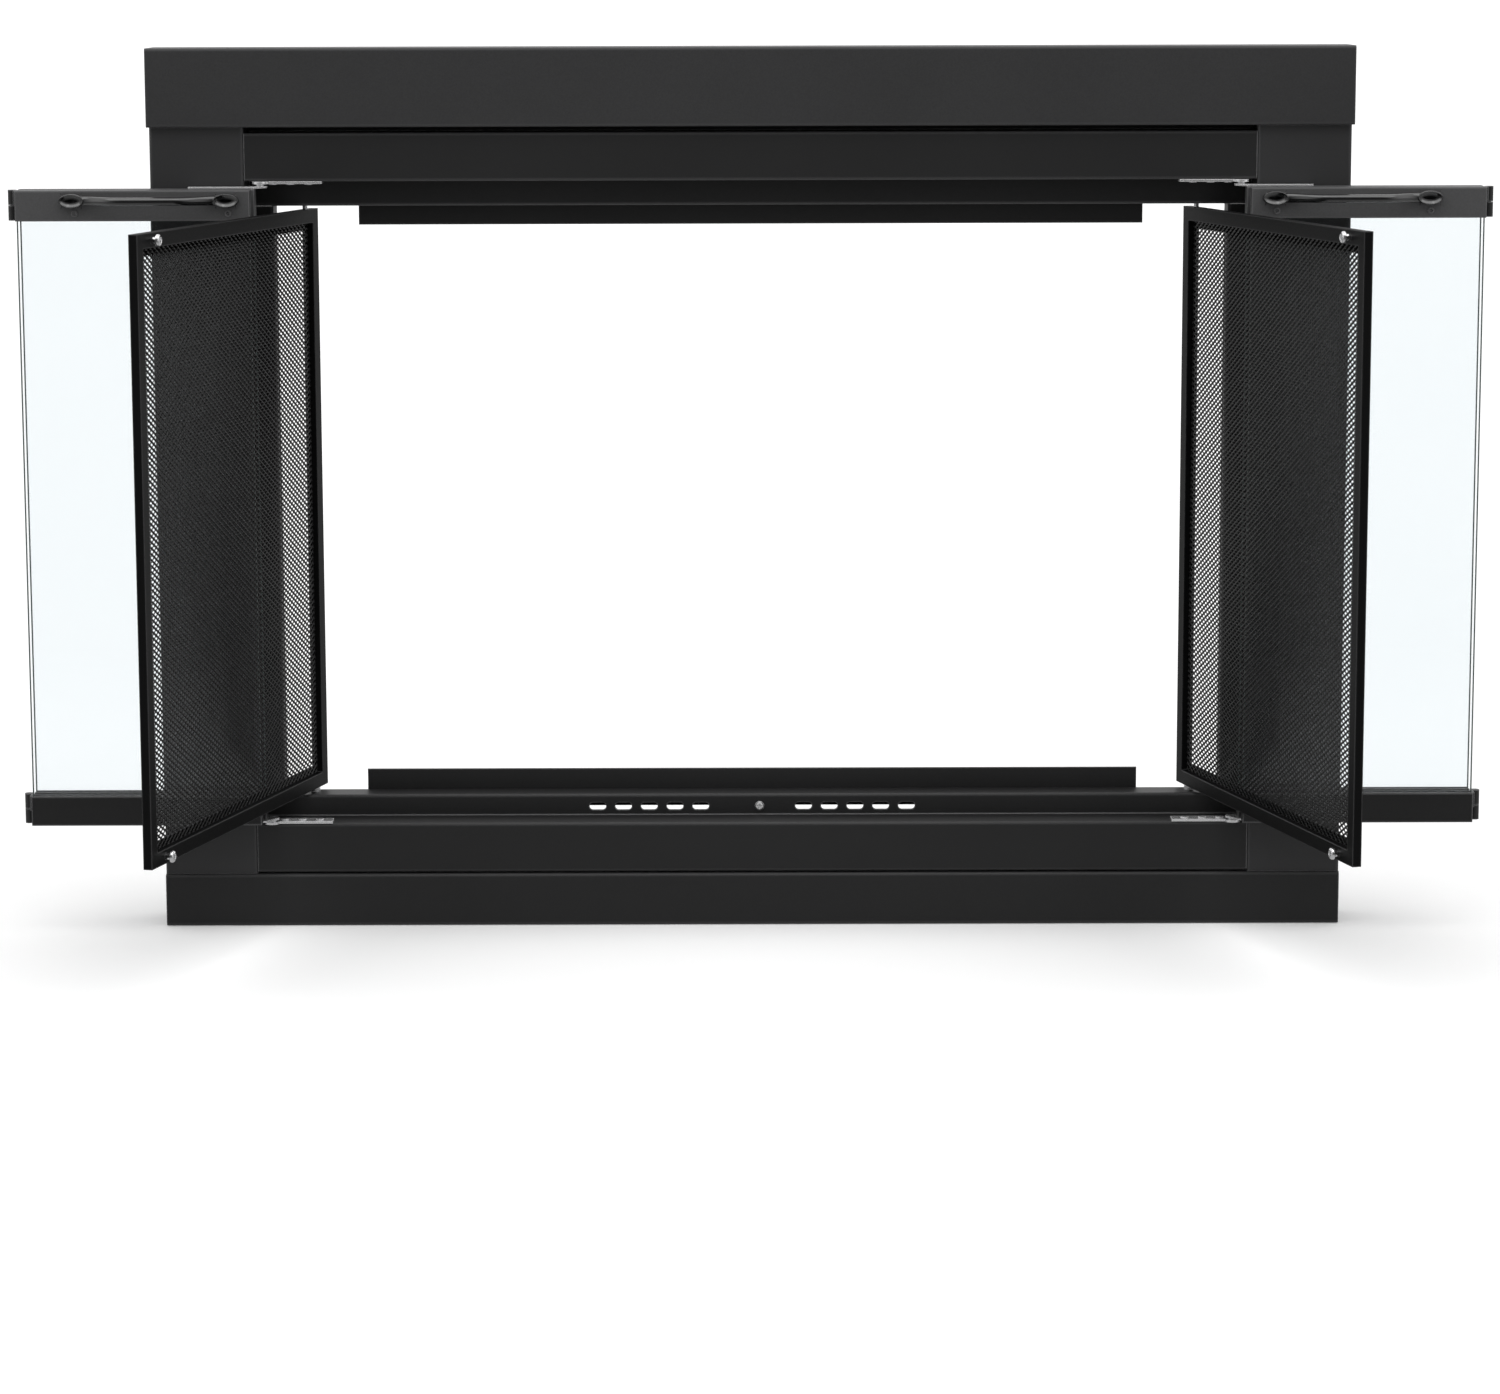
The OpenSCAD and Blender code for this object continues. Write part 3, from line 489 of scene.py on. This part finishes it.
def ground_edge(name, x, outward, low, high, body):
    """The dull ground and chamfered side edge of one sheet of glass."""
    bpy.ops.object.select_all(action="DESELECT")
    bpy.ops.mesh.primitive_cube_add(
        size=1.0, location=(x, (low.y + high.y) / 2, (low.z + high.z) / 2))
    edge = bpy.context.object
    edge.name = name
    edge.scale = (edge_t, high.y - low.y - edge_less, high.z - low.z - edge_less)
    bpy.ops.object.transform_apply(location=True, rotation=True, scale=True)
    bpy.ops.object.mode_set(mode="EDIT")
    bpy.ops.mesh.select_mode(type="FACE")
    keep_selected(lambda p: p.normal.x * outward > 0.9)
    bpy.ops.mesh.extrude_region_move()
    bpy.ops.transform.translate(value=(outward * edge_t, 0.0, 0.0))
    bpy.ops.transform.resize(value=(1.0, 0.72, 0.9985))
    bpy.ops.object.mode_set(mode="OBJECT")
    edge.data.materials.append(ground)
    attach(edge, body)


screw_r, screw_up = 0.0026, 0.0058
screw_in_low, screw_in_high = 0.0115, 0.0085
rail_black = coated("leaf_rail_black", (0.072, 0.072, 0.0735), 0.45)
# painted shade: the leaf bottom rails and fold hinge halves take a far darker copy of the leaf
# rail black
shaded_foot_rail_black = coated("shaded_foot_rail_black", (0.013, 0.013, 0.0133), 0.45,
                         edge=0.7)
for side in ("left", "right"):
    for sheet in (f"{side}_side_glass", f"{side}_lead_glass"):
        dress(glass, sheet)
        nodes[sheet].visible_shadow = False
    dress(rail_black, f"{side}_side_top_rail", f"{side}_lead_top_rail")
    dress(shaded_foot_rail_black, f"{side}_side_bottom_rail", f"{side}_lead_bottom_rail",
          f"{side}_fold_hinge_side_halves", f"{side}_fold_hinge_lead_halves")


def clamp_screw(name, x, y, z, facing, body):
    """A low set screw with a round recess, its face towards -Y or +Y."""
    bpy.ops.object.select_all(action="DESELECT")
    bpy.ops.mesh.primitive_cylinder_add(
        vertices=24, radius=screw_r, depth=0.0008,
        location=(x, y + facing * 0.0003, z),
        rotation=(math.pi / 2, 0.0, 0.0))
    screw = bpy.context.object
    screw.name = name
    bpy.ops.object.transform_apply(location=True, rotation=True, scale=True)
    bpy.ops.object.mode_set(mode="EDIT")
    bpy.ops.mesh.select_mode(type="FACE")
    keep_selected(lambda p: p.normal.y * facing > 0.9)
    bpy.ops.mesh.inset(thickness=0.0011, depth=0.0)
    bpy.ops.mesh.inset(thickness=0.0002, depth=-0.0006)
    bpy.ops.object.mode_set(mode="OBJECT")
    screw.data.materials.append(rail_black)
    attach(screw, body)


for side in ("left", "right"):
    for leaf, facing in (("lead", -1), ("side", 1)):
        low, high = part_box(f"{side}_{leaf}_glass")
        for x, outward, end in ((low.x, -1, "low"), (high.x, 1, "high")):
            ground_edge(f"{side}_{leaf}_glass_{end}_edge", x, outward,
                        low, high, f"{side}_{leaf}_leaf")
        low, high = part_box(f"{side}_{leaf}_top_rail")
        face_y = low.y if facing < 0 else high.y
        grip_low, grip_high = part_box(f"{side}_handle")
        for end, x in (("low", grip_low.x + screw_in_low),
                       ("high", grip_high.x - screw_in_high)):
            clamp_screw(f"{side}_{leaf}_clamp_screw_{end}", x, face_y,
                        low.z + screw_up, facing, f"{side}_{leaf}_leaf")

# ----------------------------------------------------------------- the handles
# A slender bow cast in one piece with two dished oval ends, in a glossier
# black than the rails, and screwed to the lead leaf's top rail through those
# ends.

handle_black = coated("handle_black", (0.003, 0.003, 0.0032), 0.17, edge=0.0,
                      peel=0.02, specular=0.9)
handle_bsdf = handle_black.node_tree.nodes["Principled BSDF"]
handle_bsdf.inputs["Coat Weight"].default_value = 0.6
handle_bsdf.inputs["Coat Roughness"].default_value = 0.12
pad_long, pad_high, pad_out, pad_share = 0.0098, 0.0054, 0.0062, 1.72
bar_half, end_flatter, end_taller = 0.0032, 0.0007, 0.0005
end_out, bow_steps, straight = 0.0034, 32, 0.45


def oval_end(x, y, z):
    """A dished oval pad on the rail, its dish towards -Y."""
    bpy.ops.object.select_all(action="DESELECT")
    bpy.ops.mesh.primitive_cylinder_add(vertices=40, radius=1.0, depth=1.0,
                                        rotation=(math.pi / 2, 0.0, 0.0))
    pad = bpy.context.object
    bpy.ops.object.transform_apply(location=True, rotation=True, scale=True)
    pad.scale = (pad_long, pad_out, pad_high)
    pad.location = (x, y - pad_out / 2, z)
    bpy.ops.object.transform_apply(location=True, rotation=True, scale=True)
    bpy.ops.object.mode_set(mode="EDIT")
    bpy.ops.mesh.select_mode(type="FACE")
    keep_selected(lambda p: p.normal.y < -0.9)
    for rim, out in ((0.0003, 0.0003), (0.0003, 0.0001), (0.0003, -0.0002),
                     (0.0008, -0.0007), (0.0008, -0.0006), (0.0009, -0.0005),
                     (0.0009, -0.0003), (0.0005, -0.0001)):
        bpy.ops.mesh.inset(thickness=rim, depth=out)
    bpy.ops.object.mode_set(mode="OBJECT")
    bpy.ops.object.shade_smooth_by_angle(angle=math.radians(50.0))
    return pad


for side in ("left", "right"):
    low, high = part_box(f"{side}_handle")
    middle = (low + high) / 2
    reach = (high.x - low.x) / 2
    stand = high.y - low.y
    pads = [oval_end(middle.x + end * (reach - pad_long), high.y, middle.z)
            for end in (-1, 1)]
    bpy.ops.object.select_all(action="DESELECT")
    bpy.ops.mesh.primitive_circle_add(
        vertices=20, radius=1.0, fill_type="NGON",
        location=(0.0, 0.0, 0.0), rotation=(0.0, math.pi / 2, 0.0))
    handle = bpy.context.object
    handle.name = f"{side}_bow_handle"
    bpy.ops.object.transform_apply(location=True, rotation=True, scale=True)
    bpy.ops.object.mode_set(mode="EDIT")
    bpy.ops.mesh.select_all(action="SELECT")
    bow = reach - pad_long * pad_share
    at, off, deep, wide = 0.0, 0.0, 1.0, 1.0
    for k in range(bow_steps + 1):
        u = -math.cos(math.pi * k / bow_steps)
        fall = min(1.0, max(0.0, (abs(u) - straight) / (1.0 - straight)))
        fall = fall * fall * (3.0 - 2.0 * fall)
        x = u * bow
        out_by = (stand - bar_half) * (1.0 - fall) + end_out * fall
        half_y = bar_half - end_flatter * fall
        half_z = bar_half + end_taller * fall
        if k:
            bpy.ops.mesh.extrude_region_move()
        bpy.ops.transform.resize(value=(1.0, half_y / deep, half_z / wide),
                                 center_override=(at, -off, 0.0))
        bpy.ops.transform.translate(value=(x - at, off - out_by, 0.0))
        at, off, deep, wide = x, out_by, half_y, half_z
    bpy.ops.mesh.select_all(action="SELECT")
    bpy.ops.mesh.normals_make_consistent(inside=False)
    bpy.ops.object.mode_set(mode="OBJECT")
    handle.data.transform(Matrix.Translation((middle.x, high.y, middle.z)))
    bpy.ops.object.shade_smooth()
    for pad in pads:
        pad.select_set(True)
    bpy.ops.object.join()
    handle.data.materials.clear()
    handle.data.materials.append(handle_black)
    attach(handle, f"{side}_lead_leaf")
    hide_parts(f"{side}_handle")
    dress(zinc, f"{side}_handle_screws")

# ------------------------------------------------------------- the mesh doors
# Each door is a welded black frame with a sheet of expanded steel behind its
# ledge: diamonds 8.3 mm wide and 4.5 mm high between thin twisted strands.

door_black = coated("mesh_door_black", (0.003, 0.003, 0.0032), 0.5, edge=0.25,
                    specular=0.1)
strand_black = coated("strand_black", (0.002, 0.002, 0.0021), 0.24, edge=0.0,
                      peel=0.02, specular=0.5)
diamond_w, diamond_h = 0.0083, 0.0045
strand_w, strand_t, strand_off, strand_part = 0.0016, 0.0008, 0.00025, 0.00008
strand_twist = math.radians(-38.0)
door_open = math.radians(105.0)
door_turn = {"left": -door_open, "right": door_open}
pin = {j["child"]: Vector(j["pos_m"]) for j in frame["joints"]}


def swing(hinge, angle):
    """A turn by the angle about the upright line through the hinge."""
    return (Matrix.Translation(hinge) @ Matrix.Rotation(angle, 4, "Z")
            @ Matrix.Translation(-hinge))


def corners_of(points):
    """The low and the high corner of the box round the points."""
    return (Vector([min(p[i] for p in points) for i in range(3)]),
            Vector([max(p[i] for p in points) for i in range(3)]))


for side in ("left", "right"):
    dress(door_black, f"{side}_mesh_frame")
    dress(zinc, f"{side}_mesh_pins")
    shut = swing(pin[f"{side}_mesh_door"], -door_turn[side])
    open_up = shut.inverted()
    low, high = corners_of(
        [shut @ v.co for v in nodes[f"{side}_mesh"].data.vertices])
    mid = (low + high) / 2
    width, height = high.x - low.x, high.z - low.z
    slant = math.atan2(diamond_h, diamond_w)
    step = diamond_w * math.sin(slant)
    length = width + height
    count = int((width * math.sin(slant) + height * math.cos(slant)) / step) + 4
    for lean in (-1, 1):
        bpy.ops.object.select_all(action="DESELECT")
        bpy.ops.mesh.primitive_cube_add(size=1.0,
                                        rotation=(strand_twist, 0.0, 0.0))
        strand = bpy.context.object
        strand.scale = (length, strand_t, strand_w)
        strand.location = (0.0, 0.0, -step * (count - 1) / 2)
        bpy.ops.object.transform_apply(location=True, rotation=True, scale=True)
        row = strand.modifiers.new("row", "ARRAY")
        row.count = count
        row.use_relative_offset = False
        row.use_constant_offset = True
        row.constant_offset_displace = (0.0, 0.0, step)
        bpy.ops.object.modifier_apply(modifier="row")
        strand.data.transform(
            Matrix.Translation(
                mid + Vector((0.0, strand_off + lean * strand_part, 0.0)))
            @ Matrix.Rotation(lean * slant, 4, "Y"))
        bpy.ops.object.mode_set(mode="EDIT")
        for point, out in (((low.x, 0, 0), (-1, 0, 0)),
                           ((high.x, 0, 0), (1, 0, 0)),
                           ((0, 0, low.z), (0, 0, -1)),
                           ((0, 0, high.z), (0, 0, 1))):
            bpy.ops.mesh.select_all(action="SELECT")
            bpy.ops.mesh.bisect(plane_co=point, plane_no=out, clear_outer=True,
                                use_fill=True)
        bpy.ops.object.mode_set(mode="OBJECT")
        strand.name = f"{side}_strands_{'rising' if lean < 0 else 'falling'}"
        strand.data.transform(open_up)
        strand.data.materials.append(strand_black)
        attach(strand, f"{side}_mesh_door")
        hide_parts(f"{side}_mesh")

# ------------------------------------------------------------------- the studs
# A bright chromed screw near each free corner of a mesh door, turned from
# bar with a domed head and a hexagon socket, holds the door off its strip.

shank_r = 0.0025
chrome = plated("stud_chrome", (0.84, 0.84, 0.85), 0.12, 0.1, 1.0, 0.8)
for side in ("left", "right"):
    open_up = swing(pin[f"{side}_mesh_door"], door_turn[side])
    shut = open_up.inverted()
    points = [shut @ v.co for v in nodes[f"{side}_mesh_studs"].data.vertices]
    lowest, highest = corners_of(points)
    halfway = (lowest.z + highest.z) / 2
    for place in ("upper", "lower"):
        low, high = corners_of(
            [c for c in points if (c.z > halfway) == (place == "upper")])
        mid = (low + high) / 2
        head = (high.x - low.x) / 2
        bpy.ops.object.select_all(action="DESELECT")
        bpy.ops.mesh.primitive_circle_add(
            vertices=36, radius=shank_r, fill_type="NGON",
            location=(mid.x, low.y, mid.z), rotation=(math.pi / 2, 0.0, 0.0))
        stud = bpy.context.object
        stud.name = f"{side}_{place}_stud_screw"
        bpy.ops.object.transform_apply(location=True, rotation=True, scale=True)
        bpy.ops.object.mode_set(mode="EDIT")
        bpy.ops.mesh.select_all(action="SELECT")
        at, radius = low.y, shank_r
        for y, ring in ((high.y - 0.0030, shank_r),
                        (high.y - 0.0030, head * 0.94),
                        (high.y - 0.0027, head), (high.y - 0.0017, head),
                        (high.y - 0.0008, head * 0.92),
                        (high.y - 0.0002, head * 0.76),
                        (high.y, head * 0.56), (high.y, head * 0.5),
                        (high.y - 0.0018, head * 0.47)):
            bpy.ops.mesh.extrude_region_move()
            bpy.ops.transform.resize(value=(ring / radius, 1.0, ring / radius),
                                     center_override=(mid.x, at, mid.z))
            bpy.ops.transform.translate(value=(0.0, y - at, 0.0))
            at, radius = y, ring
        bpy.ops.mesh.select_all(action="SELECT")
        bpy.ops.mesh.normals_make_consistent(inside=False)
        bpy.ops.object.mode_set(mode="OBJECT")
        # the socket's two innermost rings are drawn in to a hexagon
        for vertex in stud.data.vertices:
            across, up = vertex.co.x - mid.x, vertex.co.z - mid.z
            far = math.hypot(across, up)
            if vertex.co.y > low.y + 0.0005 and far < head * 0.52:
                part = (math.atan2(up, across) % (math.pi / 3)) - math.pi / 6
                flat = math.cos(math.pi / 6) / math.cos(part)
                vertex.co.x = mid.x + across * flat
                vertex.co.z = mid.z + up * flat
        bpy.ops.object.shade_smooth_by_angle(angle=math.radians(35.0))
        stud.data.transform(open_up)
        stud.data.materials.append(chrome)
        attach(stud, f"{side}_mesh_door")
        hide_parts(f"{side}_mesh_studs")
